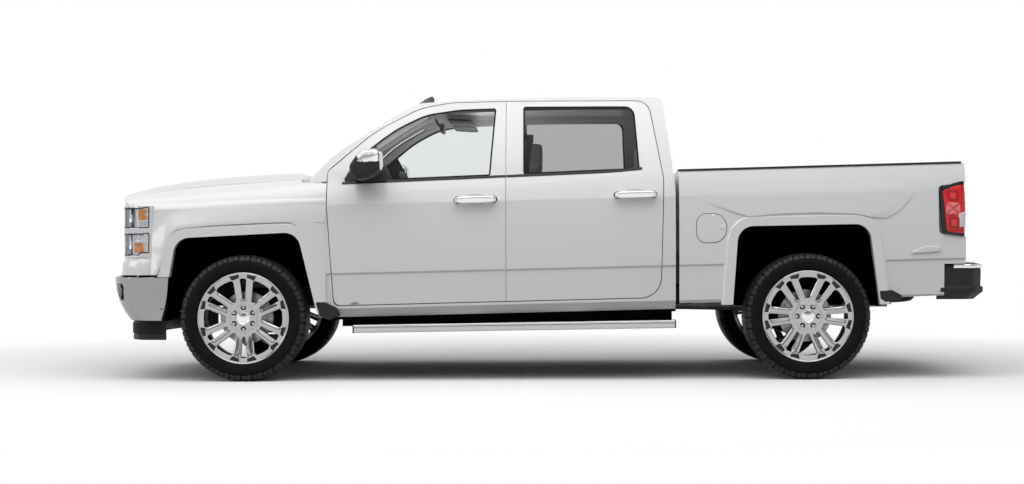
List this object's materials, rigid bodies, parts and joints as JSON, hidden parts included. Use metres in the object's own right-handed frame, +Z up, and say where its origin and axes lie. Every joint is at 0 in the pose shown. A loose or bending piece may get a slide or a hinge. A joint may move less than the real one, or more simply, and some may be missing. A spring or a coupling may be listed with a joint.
{
  "type": "pickup truck",
  "caption": "Full-size crew-cab pickup truck with a short cargo bed, opening doors, hood and tailgate, steered front wheels and a live rear axle on a ladder frame.",
  "frame": {"origin": "on the ground midway along the overall length, in the vehicle's middle plane", "axes": "-X forwards, -Y to the vehicle's left, +Z up"},
  "size_m": [5.8433, 2.45, 1.919],
  "materials": {
    "body_paint": "gloss white paint",
    "chrome_trim": "polished",
    "black_plastic": "grained",
    "frame_black": "satin black",
    "cast_metal": "as cast",
    "bare_steel": "dull",
    "bright_aluminium": "polished",
    "wheel_chrome": "polished",
    "tyre_rubber": "matt",
    "tinted_glass": "tinted",
    "lamp_clear": "clear",
    "lamp_red": "gloss red",
    "seat_trim": "woven",
    "cabin_plastic": "grained"
  },
  "bodies": {
    "root": {"cab_shell": "body_paint", "front_fenders": "body_paint", "nose_panel": "body_paint", "grille": "chrome_trim", "headlamps": "lamp_clear", "front_bumper": "chrome_trim", "air_dam": "black_plastic", "rear_bumper": "chrome_trim", "fixed_glass": "tinted_glass", "cargo_bed": "body_paint", "tail_lamps": "lamp_red", "bed_rail_caps": "black_plastic", "ladder_frame": "frame_black", "front_suspension": "frame_black", "rear_axle": "frame_black", "powertrain": "cast_metal", "exhaust": "bare_steel", "fuel_tank": "black_plastic", "running_boards": "bright_aluminium", "seats": "seat_trim", "dashboard": "cabin_plastic", "radiator": "cast_metal", "wheel_liners": "black_plastic", "spare_wheel": "tyre_rubber", "roof_antenna": "body_paint", "front_carrier": "frame_black"},
    "hood": {"hood": "body_paint"},
    "tailgate": {"tailgate": "body_paint"},
    "steering_wheel": {"steering_wheel": "cabin_plastic"},
    "door_front_left": {"door_front_left": "body_paint", "glass_front_left": "tinted_glass", "mirror_left": "chrome_trim"},
    "door_rear_left": {"door_rear_left": "body_paint", "glass_rear_left": "tinted_glass"},
    "knuckle_left": {"knuckle_left": "cast_metal"},
    "wheel_front_left": {"wheel_front_left": "wheel_chrome", "tyre_front_left": "tyre_rubber"},
    "wheel_rear_left": {"wheel_rear_left": "wheel_chrome", "tyre_rear_left": "tyre_rubber"},
    "door_front_right": {"door_front_right": "body_paint", "glass_front_right": "tinted_glass", "mirror_right": "chrome_trim"},
    "door_rear_right": {"door_rear_right": "body_paint", "glass_rear_right": "tinted_glass"},
    "knuckle_right": {"knuckle_right": "cast_metal"},
    "wheel_front_right": {"wheel_front_right": "wheel_chrome", "tyre_front_right": "tyre_rubber"},
    "wheel_rear_right": {"wheel_rear_right": "wheel_chrome", "tyre_rear_right": "tyre_rubber"}
  },
  "joints": [
    {"name": "hood_lift", "type": "hinge", "parent": "root", "child": "hood", "pos_m": [-1.565, 0, 1.3], "axis": [0, 1, 0], "range_deg": [0, 42]},
    {"name": "tailgate_drop", "type": "hinge", "parent": "root", "child": "tailgate", "pos_m": [2.7075, 0, 0.83], "axis": [0, 1, 0], "range_deg": [0, 90]},
    {"name": "steering_wheel_turn", "type": "hinge", "parent": "root", "child": "steering_wheel", "pos_m": [-0.88, -0.38, 1.19], "axis": [0.9063, 0, 0.4226], "range_deg": [-495, 495]},
    {"name": "door_front_left_swing", "type": "hinge", "parent": "root", "child": "door_front_left", "pos_m": [-1.3935, -1.009, 1], "axis": [0, 0, -1], "range_deg": [0, 65]},
    {"name": "door_rear_left_swing", "type": "hinge", "parent": "root", "child": "door_rear_left", "pos_m": [-0.237, -1.009, 1], "axis": [0, 0, -1], "range_deg": [0, 60]},
    {"name": "steer_left", "type": "hinge", "parent": "root", "child": "knuckle_left", "pos_m": [-1.9365, -0.79, 0.4075], "axis": [0, 0, 1], "range_deg": [-33, 33]},
    {"name": "wheel_front_left_spin", "type": "hinge", "parent": "knuckle_left", "child": "wheel_front_left", "pos_m": [-1.9365, -0.8725, 0.4075], "axis": [0, 1, 0], "continuous": true},
    {"name": "wheel_rear_left_spin", "type": "hinge", "parent": "root", "child": "wheel_rear_left", "pos_m": [1.7085, -0.8585, 0.4075], "axis": [0, 1, 0], "continuous": true},
    {"name": "door_front_right_swing", "type": "hinge", "parent": "root", "child": "door_front_right", "pos_m": [-1.3935, 1.009, 1], "axis": [0, 0, 1], "range_deg": [0, 65]},
    {"name": "door_rear_right_swing", "type": "hinge", "parent": "root", "child": "door_rear_right", "pos_m": [-0.237, 1.009, 1], "axis": [0, 0, 1], "range_deg": [0, 60]},
    {"name": "steer_right", "type": "hinge", "parent": "root", "child": "knuckle_right", "pos_m": [-1.9365, 0.79, 0.4075], "axis": [0, 0, 1], "range_deg": [-33, 33]},
    {"name": "wheel_front_right_spin", "type": "hinge", "parent": "knuckle_right", "child": "wheel_front_right", "pos_m": [-1.9365, 0.8725, 0.4075], "axis": [0, 1, 0], "continuous": true},
    {"name": "wheel_rear_right_spin", "type": "hinge", "parent": "root", "child": "wheel_rear_right", "pos_m": [1.7085, 0.8585, 0.4075], "axis": [0, 1, 0], "continuous": true}
  ],
  "couplings": [
    {"joint": "steer_right", "follows": "steer_left", "ratio": 1},
    {"joint": "steering_wheel_turn", "follows": "steer_left", "ratio": 15}
  ]
}
